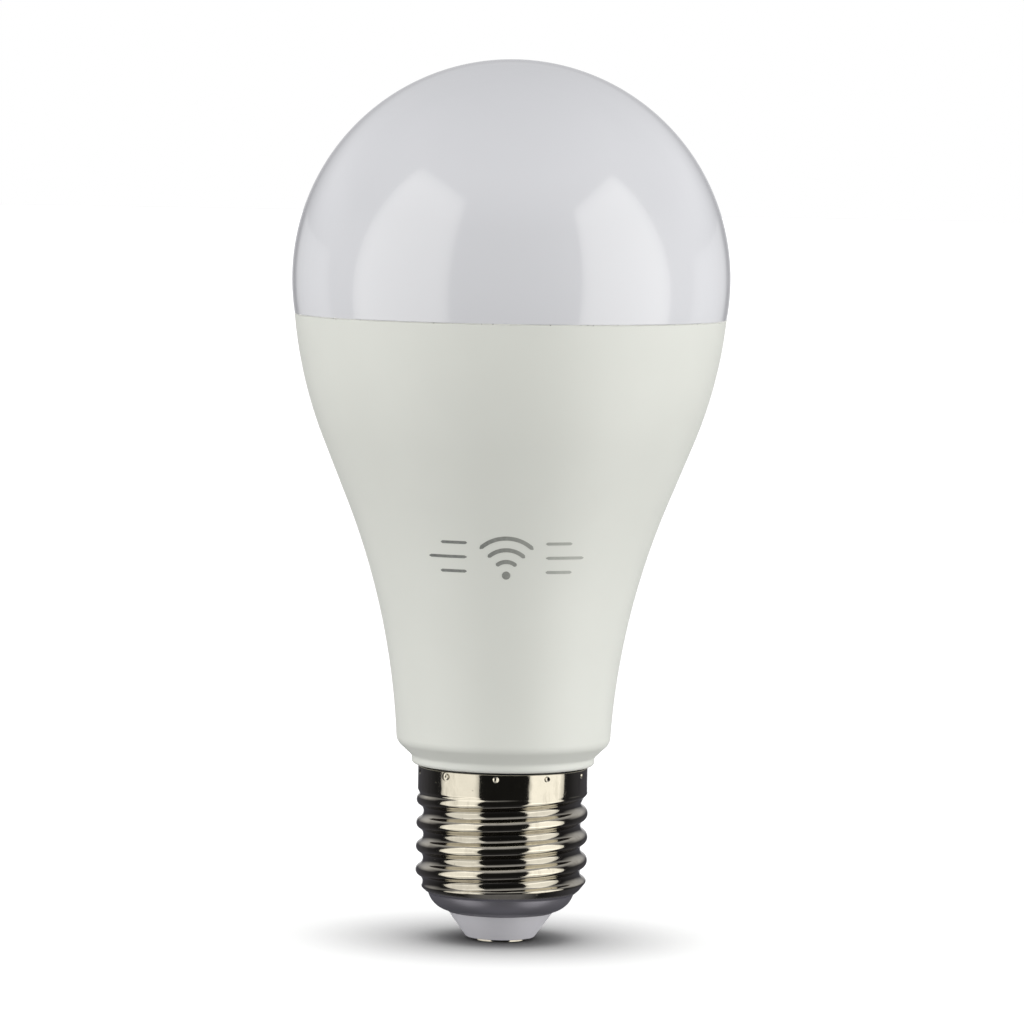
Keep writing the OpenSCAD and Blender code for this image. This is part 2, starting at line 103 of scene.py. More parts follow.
# Screw cap
PITCH = 25.4 / 7
MAJOR_R = 13.2
MINOR_R = 12.1
ROUND_R = 1.025
CREST_Z = 12.32
CREST_FADE = (22.5, 0.3)  # height and slope at which the crest sinks into the band
GROOVE_FADE = (21.08, 0.48)
BAND_R = 13.04
BAND_Z = 24
THREAD_ROWS = (7.3, 0.16, 105)  # first height, step and count of the mesh rows
BAND_ROWS = (BAND_Z, 0.3, 4)
DENT_ROWS = (25.1, 0.1, 15)
INNER_ROWS = (23.6, 0.64, 25)
SHELL_COLUMNS = 480
SHELL_EDGE_R = 0.14
SHELL_RIM_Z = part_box("screw_shell")[1].z / MM - 0.15
SHELL_GAUGE = 0.3
THREAD_END_Z = 7.75
BOWL_R = 3.75
BOWL_CENTRE = (7.6, 8.1)
BOWL_ARC = (math.radians(-80), math.radians(-14))
BOWL_GAUGE = 0.4
DULL_SHADE_FROM = (3, 3.4)  # the plating is dull, and painted darker as shade, between these two heights, each a soft edge
DULL_SHADE_TO = (7.4, 7.8)
LIP_R = 8.15
LIP_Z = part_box("screw_shell")[0].z / MM
DENT_Z = 25.95
DENT_COUNT = 10
DENT_TURN = math.radians(270 - 4.7)
DENT_R = 0.5
DENT_DEPTH = 0.24
DENT_LIP = 0.04
DENT_LIP_REACH = 1.6
DENT_FROM_Z = 24.9

# Insulator and contact
INSULATOR_LOW = (5.3, 0.35)
INSULATOR_HIGH = (7.9, 4.0)
INSULATOR_EDGE_R = 0.35
INSULATOR_TOP = [(10.9, 8.4), (3, 8.4), (2.4, 9.6)]
PLAY = 0.05
CONTACT_R = 4.8
CONTACT_H = 0.35
CONTACT_EDGE_R = 0.12
PIN_R = 1.0
PIN_TOP_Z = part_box("centre_contact")[1].z / MM
PIN_BORE_R = 0.5
PIN_BORE_DEPTH = (4, 4.3)

# Moulding flash in the seam
FLASH_COLUMNS = 1800
FLASH_AROUND = 6

# Mark on the front
MARK_Z = 60.4
MARK_INK = 0.035
MARK_SINK = 0.05
FAN_FOOT = (0, -2.7)
FAN_RADII = (2.1, 3.9, 5.7)
FAN_WIDTH = 0.62
DOT_R = 0.62
BAR_START = 6
BARS = ((2.2, 4.2), (0, 6.2), (-2.2, 4.2))  # height and length of each bar
BAR_WIDTH = 0.45


# ---------------------------------------------------------------------------------------------
# Mesh tools
# ---------------------------------------------------------------------------------------------


def add_piece(name, verts, faces, nodes, sharp=32):
    """A piece of the object from points in millimetres, shaded smooth up to an angle in degrees."""
    mesh = bpy.data.meshes.new(name)
    mesh.from_pydata([(x * MM, y * MM, z * MM) for x, y, z in verts], [], faces)
    work = bmesh.new()
    work.from_mesh(mesh)
    bmesh.ops.recalc_face_normals(work, faces=work.faces)
    work.to_mesh(mesh)
    work.free()
    mesh.shade_smooth()
    mesh.set_sharp_from_angle(angle=math.radians(sharp))
    piece = bpy.data.objects.new(name, mesh)
    bpy.context.scene.collection.objects.link(piece)
    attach(piece, "root")
    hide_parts(*nodes)
    return piece


def arc(centre, radius, start, end, steps):
    """Points (r, z) on an arc, with angles in radians from the +r direction."""
    angles = (start + (end - start) * i / steps for i in range(steps + 1))
    return [(centre[0] + radius * math.cos(a), centre[1] + radius * math.sin(a)) for a in angles]


def revolve(rows, columns):
    """Vertices and faces of a closed ring of rows: (r, z) pairs, or functions of the turn."""
    verts, rings, faces = [], [], []
    for row in rows:
        on_axis = not callable(row) and row[0] < 1e-6
        ring = []
        for column in range(1 if on_axis else columns):
            turn = 2 * math.pi * column / columns
            r, z = row(turn) if callable(row) else row
            ring.append(len(verts))
            verts.append((r * math.cos(turn), r * math.sin(turn), z))
        rings.append(ring)
    for low, high in zip(rings, rings[1:] + rings[:1]):
        for column in range(columns):
            after = (column + 1) % columns
            corners = [
                low[column % len(low)],
                low[after % len(low)],
                high[after % len(high)],
                high[column % len(high)],
            ]
            corners = list(dict.fromkeys(corners))
            if len(corners) > 2:
                faces.append(corners)
    return verts, faces


def box_mesh(low, high):
    """Vertices and faces of a block between two corners."""
    xs, ys, zs = zip(low, high)
    verts = [(x, y, z) for x in xs for y in ys for z in zs]
    faces = [(0, 1, 3, 2), (4, 6, 7, 5), (0, 4, 5, 1), (2, 3, 7, 6), (0, 2, 6, 4), (1, 5, 7, 3)]
    return verts, faces


def join(parts):
    """One vertex and face list from several."""
    verts, faces = [], []
    for more_verts, more_faces in parts:
        start = len(verts)
        verts += more_verts
        faces += [[i + start for i in face] for face in more_faces]
    return verts, faces


def soft_min(a, b, width):
    """The smaller of two values, with a rounded change-over of this width."""
    blend = max(width - abs(a - b), 0) / width
    return min(a, b) - blend * blend * width / 4


def soft_max(a, b, width):
    """The larger of two values, with a rounded change-over of this width."""
    return -soft_min(-a, -b, width)


# ---------------------------------------------------------------------------------------------
# Outlines and surfaces of the object
# ---------------------------------------------------------------------------------------------


def housing_outline(steps=72):
    """The housing's outside from rim to neck: convex arc, straight flank, concave arc."""
    down = RIM_Z - NECK_Z - BULGE_R * (math.sin(FLANK_LEAN) - math.sin(RIM_LEAN))
    inward = RIM_R - NECK_R - BULGE_R * (math.cos(RIM_LEAN) - math.cos(FLANK_LEAN))
    neck_arc_r = (math.cos(FLANK_LEAN) * inward - math.sin(FLANK_LEAN) * down) / (
        math.cos(FLANK_LEAN - NECK_LEAN) - 1
    )
    neck_arc_down = neck_arc_r * (math.sin(FLANK_LEAN) - math.sin(NECK_LEAN))
    flank = (down - neck_arc_down) / math.cos(FLANK_LEAN)
    bulge_centre = (RIM_R - BULGE_R * math.cos(RIM_LEAN), RIM_Z + BULGE_R * math.sin(RIM_LEAN))
    bulge = arc(bulge_centre, BULGE_R, -RIM_LEAN, -FLANK_LEAN, steps)
    flank_end = (
        bulge[-1][0] - flank * math.sin(FLANK_LEAN),
        bulge[-1][1] - flank * math.cos(FLANK_LEAN),
    )
    neck_centre = (
        flank_end[0] + neck_arc_r * math.cos(FLANK_LEAN),
        flank_end[1] - neck_arc_r * math.sin(FLANK_LEAN),
    )
    return bulge + arc(neck_centre, neck_arc_r, math.pi - FLANK_LEAN, math.pi - NECK_LEAN, steps)


OUTLINE = housing_outline()


def outline_r(z):
    """The housing's outer radius at a height."""
    for (r0, z0), (r1, z1) in zip(OUTLINE, OUTLINE[1:]):
        if z1 <= z <= z0:
            return r1 + (r0 - r1) * (z - z1) / (z0 - z1)
    return OUTLINE[0][0] if z > OUTLINE[0][1] else OUTLINE[-1][0]


def thread_r(u):
    """Radius of the round thread, a height u from the nearest crest."""
    if abs(u) <= PITCH / 4:
        return MAJOR_R - ROUND_R + math.sqrt(ROUND_R**2 - u * u)
    return MINOR_R + ROUND_R - math.sqrt(ROUND_R**2 - (PITCH / 2 - abs(u)) ** 2)


def shell_r(z, turn):
    """Outer radius of the cap's thread, which fades into the bowl below and the band above."""
    turns = (z - CREST_Z) / PITCH - turn / (2 * math.pi)
    r = thread_r((turns - round(turns)) * PITCH)
    if z < THREAD_END_Z + 2:
        slope = 1.2 if z < THREAD_END_Z else 0.8
        r = soft_min(r, MINOR_R + slope * (z - THREAD_END_Z), 0.3)
    if z > THREAD_END_Z + 10:
        crest = MAJOR_R - CREST_FADE[1] * (z - CREST_FADE[0])
        groove = MINOR_R + GROOVE_FADE[1] * (z - GROOVE_FADE[0])
        r = soft_min(r, max(BAND_R, min(MAJOR_R, crest)), 0.06)
        r = soft_max(r, min(BAND_R, groove), 0.08)
    return r


def sheet_wave(z, turn):
    """The drawn sheet isn't perfectly round: a few microns of waviness."""
    at = Vector((3 * math.cos(turn), 3 * math.sin(turn), z * 0.18))
    return 0.012 * noise.noise(at) + 0.004 * noise.noise(at * 4)


def dent(z, turn):
    """How far the crimp dents sink the band here, with a slight lip around each."""
    step = 2 * math.pi / DENT_COUNT
    near = (turn - DENT_TURN + step / 2) % step - step / 2
    d = math.hypot(near * BAND_R, z - DENT_Z) / DENT_R
    if d < 1:
        return DENT_DEPTH * (1 - d * d) - DENT_LIP * d * d
    return -DENT_LIP * max(0, DENT_LIP_REACH - d) / (DENT_LIP_REACH - 1)


# ---------------------------------------------------------------------------------------------
# Pieces
# ---------------------------------------------------------------------------------------------


def make_globe():
    """The globe's shell, with the spigot that sits in the housing's rim."""
    seam = math.asin((SEAM_Z + GLOBE_EDGE_R - GLOBE_Z) / GLOBE_R)
    inner_r = GLOBE_R - GLOBE_WALL
    root_z = SEAM_Z + SPIGOT_ROOT
    inner_start = math.asin((root_z - GLOBE_Z) / inner_r)
    edge_centre = (RIM_R - GLOBE_EDGE_R, SEAM_Z + GLOBE_EDGE_R)
    outline = (
        arc(edge_centre, GLOBE_EDGE_R, -math.pi / 2, -0.2, 5)
        + arc((0, GLOBE_Z), GLOBE_R, seam, math.pi / 2, 110)
        + arc((0, GLOBE_Z), inner_r, math.pi / 2, inner_start, 60)
        + [
            (SPIGOT_R - SPIGOT_WALL, root_z),
            (SPIGOT_R - SPIGOT_WALL, SPIGOT_Z),
            (SPIGOT_R - SPIGOT_EDGE, SPIGOT_Z),
            (SPIGOT_R, SPIGOT_Z + SPIGOT_EDGE),
            (SPIGOT_R, SEAM_Z),
        ]
    )
    outline = [(0, z) if abs(r) < 1e-6 else (r, z) for r, z in outline]
    verts, faces = revolve(outline, GLOBE_COLUMNS)
    return add_piece("milky_globe", verts, faces, ["diffuser_globe"])


def make_housing():
    """The housing, with the seat for the globe, the plug inside the cap and the board's rails."""
    edge_centre = (RIM_R - RIM_EDGE_R, RIM_Z - RIM_EDGE_R)
    foot_centre = (
        NECK_R - FOOT_ARC_R * math.cos(NECK_LEAN),
        NECK_Z + FOOT_ARC_R * math.sin(NECK_LEAN),
    )
    fillet_z, fillet_r = COLLAR_FILLET
    fillet_centre = (COLLAR_R + fillet_r, fillet_z)
    collar_centre = (COLLAR_R - COLLAR_EDGE_R, COLLAR_Z + COLLAR_EDGE_R)
    low, high = INNER_SPAN
    heights = (low + i * (high - low) / 24 for i in range(25))
    outline = (
        arc(edge_centre, RIM_EDGE_R, math.pi / 2, 0.1, 5)
        + [p for p in OUTLINE if p[1] < RIM_Z - RIM_EDGE_R]
        + arc(foot_centre, FOOT_ARC_R, -NECK_LEAN, -FOOT_LEAN, 12)
        + arc(fillet_centre, fillet_r, math.pi - FOOT_LEAN, math.pi, 8)
        + arc(collar_centre, COLLAR_EDGE_R, 0, -math.pi / 2, 10)
        + [(PLUG_R[0], COLLAR_Z), (PLUG_R[0], PLUG_STEP[0])]
        + [(PLUG_R[1], PLUG_STEP[1]), (PLUG_R[1], PLUG_END_Z + PLUG_EDGE)]
        + [(PLUG_R[1] - PLUG_EDGE, PLUG_END_Z), (BORE_R, PLUG_END_Z), *BORE_FLARE]
        + [(outline_r(z) - HOUSING_WALL, z) for z in heights]
        + [(SEAT_R, high), (SEAT_R, RIM_Z)]
    )
    rails = [
        box_mesh(
            (side * RAIL_SPAN[0], face, RAIL_Z[0]),
            (side * RAIL_SPAN[1], face + RAIL_THICK, RAIL_Z[1]),
        )
        for side in (-1, 1)
        for face in RAIL_FACES
    ]
    verts, faces = join([revolve(outline[::-1], HOUSING_COLUMNS), *rails])
    return add_piece("plastic_housing", verts, faces, ["housing_shell"])


def make_screw_shell():
    """The cap's sheet, from the bowl's lip up the outside, over the rim and down the inside."""

    def outer(z, base=None):
        def row(turn):
            r = shell_r(z, turn) if base is None else base
            sink = dent(z, turn) if z > DENT_FROM_Z else 0
            return r + sheet_wave(z, turn) - sink, z

        return row

    def inner(z):
        return lambda turn: (shell_r(z, turn) - SHELL_GAUGE, z)

    start, end = BOWL_ARC
    rim_centre = (BAND_R - SHELL_EDGE_R, SHELL_RIM_Z - SHELL_EDGE_R)
    thread_z, thread_step, thread_count = THREAD_ROWS
    band_z, band_step, band_count = BAND_ROWS
    dent_z, dent_step, dent_count = DENT_ROWS
    inner_z, inner_step, inner_count = INNER_ROWS
    rows = [(LIP_R + 0.05, LIP_Z + 0.02)]
    rows += arc(BOWL_CENTRE, BOWL_R, start, end, 20)
    rows += [outer(thread_z + i * thread_step) for i in range(thread_count)]
    rows += [outer(band_z + i * band_step, BAND_R) for i in range(1, band_count)]
    rows += [outer(dent_z + i * dent_step, BAND_R) for i in range(dent_count)]
    rows += arc(rim_centre, SHELL_EDGE_R, 0.1, math.pi / 2, 4)
    rows += [(BAND_R - SHELL_GAUGE, SHELL_RIM_Z), (BAND_R - SHELL_GAUGE, BAND_Z)]
    rows += [inner(inner_z - i * inner_step) for i in range(inner_count)]
    rows += arc(BOWL_CENTRE, BOWL_R - BOWL_GAUGE, end, start, 8)
    rows += [(LIP_R, LIP_Z + BOWL_GAUGE)]
    verts, faces = revolve(rows, SHELL_COLUMNS)
    return add_piece("screw_cap_shell", verts, faces, ["screw_shell"], sharp=70)


def make_insulator():
    """The pale cone under the bowl, and the dish above it that fills the bowl."""
    low, high = INSULATOR_LOW, INSULATOR_HIGH
    lean = math.atan2(high[0] - low[0], high[1] - low[1])
    edge = INSULATOR_EDGE_R
    neck_r = high[0] + PLAY
    outline = (
        [(PIN_R + PLAY, low[1])]
        + arc((low[0] - edge * 0.6, low[1] + edge), edge, -math.pi / 2, -lean, 6)
        + [high, (neck_r, high[1] + 0.3), (neck_r, 4.72)]
        + arc(BOWL_CENTRE, BOWL_R - BOWL_GAUGE - PLAY, *BOWL_ARC, 12)
        + [*INSULATOR_TOP, (PIN_R + PLAY, INSULATOR_TOP[-1][1])]
    )
    verts, faces = revolve(outline, 160)
    return add_piece("cap_cone", verts, faces, ["cap_insulator"], sharp=30)


def make_contact():
    """The contact's disc and its pin, bored for the live lead."""
    edge = CONTACT_EDGE_R
    outline = (
        [(0, 0)]
        + arc((CONTACT_R - edge, edge), edge, -math.pi / 2, 0, 4)
        + [(CONTACT_R, CONTACT_H), (PIN_R, CONTACT_H), (PIN_R, PIN_TOP_Z), (PIN_BORE_R, PIN_TOP_Z)]
        + [(PIN_BORE_R, PIN_TOP_Z - PIN_BORE_DEPTH[0]), (0, PIN_TOP_Z - PIN_BORE_DEPTH[1])]
    )
    verts, faces = revolve(outline, 128)
    return add_piece("contact_nail", verts, faces, ["centre_contact"])


def make_seam_flash():
    """Moulding flash in the seam: a hair-thin bead, proud of the surface here and there."""
    verts, faces = [], []
    for column in range(FLASH_COLUMNS):
        turn = 2 * math.pi * column / FLASH_COLUMNS
        at = Vector((4 * math.cos(turn), 4 * math.sin(turn), 0))
        patch = max(0, min(1, 4 * noise.noise(at) + 0.6))
        burr = max(0, noise.noise(at * 9) - 0.05) * max(0, noise.noise(at * 3) + 0.1)
        thick = 0.08 + 0.03 * patch + 0.6 * patch * burr
        for i in range(FLASH_AROUND):
            a = 2 * math.pi * i / FLASH_AROUND
            r = RIM_R - 0.09 + 0.05 * patch + thick * math.cos(a)
            z = RIM_Z + 0.07 + 0.9 * thick * math.sin(a)
            verts.append((r * math.cos(turn), r * math.sin(turn), z))
    for column in range(FLASH_COLUMNS):
        here = column * FLASH_AROUND
        after = (column + 1) % FLASH_COLUMNS * FLASH_AROUND
        for i in range(FLASH_AROUND):
            j = (i + 1) % FLASH_AROUND
            faces.append((here + i, after + i, after + j, here + j))
    return add_piece("seam_flash", verts, faces, [], sharp=60)


def stroke(points, width, round_end=0.22):
    """A printed line along (u, v) points: a thin closed strip wrapped on the housing's front."""
    lengths = [0.0]
    for a, b in zip(points, points[1:]):
        lengths.append(lengths[-1] + math.dist(a, b))
    verts, faces = [], []
    count = len(points)
    for i, (u, v) in enumerate(points):
        before, after = points[max(i - 1, 0)], points[min(i + 1, count - 1)]
        run = Vector((after[0] - before[0], after[1] - before[1])).normalized()
        tip = min(lengths[i], lengths[-1] - lengths[i], round_end)
        half = width / 2 * max(math.sqrt(1 - (1 - tip / round_end) ** 2), 0.25)
        for side in (-1, 1):
            su, sv = u - side * run.y * half, v + side * run.x * half
            for lift in (MARK_INK, -MARK_SINK):
                r = outline_r(MARK_Z + sv) + lift
                turn = -math.pi / 2 + su / r
                verts.append((r * math.cos(turn), r * math.sin(turn), MARK_Z + sv))
    for i in range(count - 1):
        a, b = 4 * i, 4 * i + 4
        faces += [(a, b, b + 2, a + 2), (a + 1, a + 3, b + 3, b + 1)]
        faces += [(a, a + 1, b + 1, b), (a + 2, b + 2, b + 3, a + 3)]
    end = 4 * (count - 1)
    faces += [(0, 2, 3, 1), (end, end + 1, end + 3, end + 2)]
    return verts, faces


def line(start, end, steps=16):
    """Points from start to end."""
    return [
        (start[0] + (end[0] - start[0]) * i / steps, start[1] + (end[1] - start[1]) * i / steps)
        for i in range(steps + 1)
    ]


def make_mark():
    """A generic mark without letters: a radio fan between short bars."""
    parts = []
    for radius in FAN_RADII:
        wave = arc(FAN_FOOT, radius, math.radians(135), math.radians(45), 24)
        parts.append(stroke(wave, FAN_WIDTH))
    dot = line((-DOT_R, FAN_FOOT[1]), (DOT_R, FAN_FOOT[1]), 14)
    parts.append(stroke(dot, 2 * DOT_R, round_end=DOT_R))
    for side in (-1, 1):
        for v, length in BARS:
            bar = line((side * BAR_START, v), (side * (BAR_START + length), v))
            parts.append(stroke(bar, BAR_WIDTH))
    verts, faces = join(parts)
    return add_piece("front_mark", verts, faces, [], sharp=50)


# ---------------------------------------------------------------------------------------------
# Materials
# ---------------------------------------------------------------------------------------------


def srgb(red, green, blue):
    """A colour given in 0 to 255, as Blender's linear values."""

    def linear(value):
        value /= 255
        return value / 12.92 if value <= 0.04045 else ((value + 0.055) / 1.055) ** 2.4

    return (linear(red), linear(green), linear(blue), 1)


class Nodes:
    """A node tree under construction, with short calls for its nodes."""

    def __init__(self, tree):
        self.tree = tree

    def node(self, kind, settings=None, **inputs):
        """A node whose inputs are values or sockets, by name or by number (_0, _1, ...)."""
        made = self.tree.nodes.new(kind)
        for name, value in (settings or {}).items():
            setattr(made, name, value)
        for name, value in inputs.items():
            key = int(name[1:]) if name[1:].isdigit() else name.replace("_", " ")
            if isinstance(value, bpy.types.NodeSocket):
                self.tree.links.new(value, made.inputs[key])
            else:
                made.inputs[key].default_value = value
        return made

    def math(self, operation, a, b=0.0, c=0.0):
        return self.node("ShaderNodeMath", {"operation": operation}, _0=a, _1=b, _2=c).outputs[0]

    def remap(self, value, low, high, to_low=0.0, to_high=1.0, smooth=False):
        kind = {"interpolation_type": "SMOOTHSTEP" if smooth else "LINEAR"}
        made = self.node(
            "ShaderNodeMapRange", kind, _0=value, _1=low, _2=high, _3=to_low, _4=to_high
        )
        return made.outputs[0]

    def mix(self, factor, a, b):
        made = self.node("ShaderNodeMix", {"data_type": "RGBA"}, _0=factor, _6=a, _7=b)
        return made.outputs[2]


class Recipe(Nodes):
    """A material under construction, around one principled shader."""

    def __init__(self, name, **fixed):
        self.material = bpy.data.materials.new(name)
        self.material.use_nodes = True
        super().__init__(self.material.node_tree)
        self.tree.nodes.clear()
        self.shader = self.node("ShaderNodeBsdfPrincipled", **fixed)
        output = self.node("ShaderNodeOutputMaterial")
        self.tree.links.new(self.shader.outputs[0], output.inputs["Surface"])
        self.place = self.node("ShaderNodeTexCoord").outputs["Object"]

    def stretched(self, x, y, z):
        """Object coordinates in millimetres, scaled per axis."""
        scale = (x / MM, y / MM, z / MM)
        return self.node("ShaderNodeMapping", Vector=self.place, Scale=scale).outputs[0]

    def noise(self, size, detail=4, roughness=0.55, stretch=(1, 1, 1)):
        """Noise with features of this size in millimetres."""
        vector = self.stretched(*stretch)
        made = self.node(
            "ShaderNodeTexNoise", Vector=vector, Scale=1 / size, Detail=detail, Roughness=roughness
        )
        return made.outputs["Fac"]

    def axis(self, name):
        """One object coordinate, in millimetres."""
        split = self.node("ShaderNodeSeparateXYZ", Vector=self.stretched(1, 1, 1))
        return split.outputs[name]

    def distance(self, a, b):
        """Length of a step of a and b at right angles."""
        square = self.math("MULTIPLY_ADD", a, a, self.math("MULTIPLY", b, b))
        return self.math("SQRT", square)

    def painted(self):
        """The colour socket so far."""
        return self.shader.inputs["Base Color"].links[0].from_socket

    def colour(self, socket):
        self.tree.links.new(socket, self.shader.inputs["Base Color"])

    def roughness(self, socket):
        self.tree.links.new(socket, self.shader.inputs["Roughness"])

    def metallic(self, socket):
        self.tree.links.new(socket, self.shader.inputs["Metallic"])

    def bump(self, height, distance):
        """Height from 0 to 1 spans this distance in millimetres."""
        made = self.node("ShaderNodeBump", Height=height, Distance=distance * MM, Strength=1.0)
        last = self.shader.inputs["Normal"]
        if last.is_linked:
            self.tree.links.new(last.links[0].from_socket, made.inputs["Normal"])
        self.tree.links.new(made.outputs[0], last)


def shade(colour, factor):
    """A colour made darker or lighter."""
    return tuple(c * factor for c in colour[:3]) + (1,)


def mottled(recipe, colour, amount, size, stretch=(1, 1, 1)):
    """Slow colour variation around one colour."""
    spot = recipe.remap(recipe.noise(size, 3, 0.5, stretch), 0.3, 0.7, 0, 1)
    mixed = recipe.mix(spot, shade(colour, 1 - amount), shade(colour, 1 + amount))
    recipe.colour(mixed)
    return mixed


def moulded(name, colour, rough, grain=0.004, grain_size=0.15, amount=0.04, **fixed):
    """Moulded plastic or rubber: faint mottling, uneven gloss and a fine surface grain."""
    recipe = Recipe(name, **fixed)
    mottled(recipe, colour, amount, 4)
    recipe.roughness(recipe.remap(recipe.noise(2.5), 0.3, 0.7, rough - 0.05, rough + 0.06))
    recipe.bump(recipe.noise(grain_size, 2), grain)
    return recipe


def metal(name, colour, rough, stretch=(1, 1, 1), scratch=0.003, **fixed):
    """Bare or plated metal: brushed or drawn along the axis with the smallest stretch."""
    recipe = Recipe(name, Metallic=1.0, **fixed)
    mottled(recipe, colour, 0.05, 6)
    brushed = recipe.noise(0.25, 3, 0.6, stretch)
    recipe.roughness(recipe.remap(brushed, 0.3, 0.7, rough * 0.7, rough * 1.35))
    recipe.bump(brushed, scratch)
    return recipe


def globe_material():
    """Milky polycarbonate: slightly blue grey and glossy, with painted light that makes it lighter
    towards the seam.
    """
    recipe = Recipe(
        "milky_polycarbonate",
        IOR=1.58,
        Specular_IOR_Level=0.5,
        Coat_Weight=0.6,
        Coat_Roughness=0.04,
        Sheen_Weight=0.12,
        Sheen_Roughness=0.35,
    )
    # Painted light: lighter near the seam and darker at the top, for light from inside shining
    # through the lower globe.
    height = recipe.remap(recipe.axis("Z"), SEAM_Z, GLOBE_TOP, 0, 1)
    painted_low_light = recipe.mix(height, srgb(227, 228, 233), srgb(222, 223, 228))
    cloud = recipe.remap(recipe.noise(14, 3, 0.5), 0.3, 0.7, 0, 0.05)
    recipe.colour(recipe.mix(cloud, painted_low_light, srgb(200, 202, 208)))
    recipe.roughness(recipe.remap(recipe.noise(5), 0.3, 0.7, 0.11, 0.15))
    recipe.bump(recipe.noise(9, 2, 0.4), 0.006)
    recipe.bump(recipe.noise(0.5, 2), 0.0004)
    return recipe.material


def housing_material():
    """Satin white plastic over aluminium, with a fine mould texture, a few specks and painted shade
    below the collar.
    """
    base = srgb(229, 231, 225)
    recipe = Recipe("satin_white_plastic", IOR=1.5, Specular_IOR_Level=0.45, Sheen_Weight=0.05)
    spot = recipe.remap(recipe.noise(16, 3, 0.5), 0.3, 0.7, 0, 1)
    cloud = recipe.mix(spot, shade(base, 0.985), shade(base, 1.012))
    cells = recipe.node("ShaderNodeTexVoronoi", Vector=recipe.stretched(1, 1, 1), Scale=0.16)
    speck = recipe.remap(cells.outputs["Distance"], 0.018, 0.03, 1, 0)
    rare = recipe.remap(recipe.noise(11, 1), 0.6, 0.64, 0, 1)
    mark = recipe.math("MULTIPLY", recipe.math("MULTIPLY", speck, rare), 0.5)
    specked = recipe.mix(mark, cloud, srgb(150, 150, 142))
    # Painted shade: the plastic is near black below the collar, where the gap over the cap's rim
    # lies in shadow.
    thin, deep = GAP_SHADE_DEPTH
    gap_shade = recipe.remap(recipe.axis("Z"), COLLAR_Z - deep, COLLAR_Z - thin, 1, 0)
    recipe.colour(recipe.mix(gap_shade, specked, srgb(30, 30, 31)))
    recipe.roughness(recipe.remap(recipe.noise(7), 0.3, 0.7, 0.4, 0.48))
    recipe.bump(recipe.noise(0.35, 3), 0.0025)
    recipe.bump(recipe.noise(12, 2, 0.4), 0.01)
    return recipe.material


def flash_material():
    """Trimmed moulding flash: whiter than the housing, with a few specks of dirt."""
    recipe = Recipe("trimmed_flash", IOR=1.5)
    speck = recipe.remap(recipe.noise(0.35, 2), 0.66, 0.7, 0, 0.8)
    clean = recipe.mix(recipe.noise(2), srgb(238, 238, 234), srgb(226, 227, 222))
    recipe.colour(recipe.mix(speck, clean, srgb(70, 68, 64)))
    recipe.roughness(recipe.remap(recipe.noise(0.6), 0.3, 0.7, 0.35, 0.55))
    recipe.bump(recipe.noise(0.1, 2), 0.01)
    return recipe.material


def nickel_material():
    """Polished nickel plating on the drawn shell, matt on the bowl, with handling marks; the
    thread's grooves and the bowl's colour carry painted shade.
    """
    recipe = Recipe("nickel_plating", Metallic=1.0)
    base = srgb(204, 198, 183)
    z = recipe.axis("Z")
    above = recipe.remap(z, *DULL_SHADE_FROM)
    dull_and_shaded = recipe.math("MULTIPLY", recipe.remap(z, *DULL_SHADE_TO, 1, 0, True), above)
    spot = recipe.remap(recipe.noise(2.2, 5, 0.6), 0.35, 0.75, 0, 1)
    bright = recipe.mix(spot, base, shade(base, 0.93))
    # Painted shade: the thread's grooves are darker, where shade falls between the crests.
    radius = recipe.distance(recipe.axis("X"), recipe.axis("Y"))
    groove = recipe.remap(radius, MINOR_R + 0.15, MINOR_R + 0.75, 0.3, 0)
    bright = recipe.mix(groove, bright, srgb(120, 117, 112))
    smudge = recipe.remap(recipe.noise(1.6, 6, 0.65, (1, 1, 0.3)), 0.5, 0.72, 0, 0.55)
    bright = recipe.mix(smudge, bright, srgb(160, 154, 142))
    # The bowl's plating is dull, and its dark lavender grey colour is painted shade for the
    # shadowed underside.
    recipe.colour(recipe.mix(dull_and_shaded, bright, srgb(134, 132, 140)))
    recipe.metallic(recipe.remap(dull_and_shaded, 0, 1, 1, 0.6))
    drawn = recipe.noise(0.12, 3, 0.6, (1, 1, 0.05))
    polished = recipe.remap(drawn, 0.3, 0.7, 0.05, 0.1)
    grime = recipe.remap(recipe.noise(1.1, 6, 0.7), 0.58, 0.75, 0, 0.1)
    rough = recipe.math("ADD", polished, grime)
    recipe.roughness(recipe.math("ADD", rough, recipe.math("MULTIPLY", dull_and_shaded, 0.28)))
    recipe.bump(drawn, 0.0006)
    recipe.bump(recipe.noise(0.9, 3, 0.5), 0.0022)
    pits = recipe.node("ShaderNodeTexVoronoi", Vector=recipe.stretched(1, 1, 1), Scale=0.9)
    pit = recipe.remap(pits.outputs["Distance"], 0.05, 0.11, 1, 0)
    rare = recipe.remap(recipe.noise(2.5, 1), 0.56, 0.6, 0, 1)
    recipe.bump(recipe.math("MULTIPLY", pit, rare), 0.02)
    return recipe.material


def insulator_material():
    """Pale lavender thermoset plastic."""
    grain = {"grain": 0.003, "grain_size": 0.3, "amount": 0.02}
    fixed = {"IOR": 1.5, "Specular_IOR_Level": 0.4}
    return moulded("pale_cap_plastic", srgb(199, 198, 204), 0.42, **grain, **fixed).material


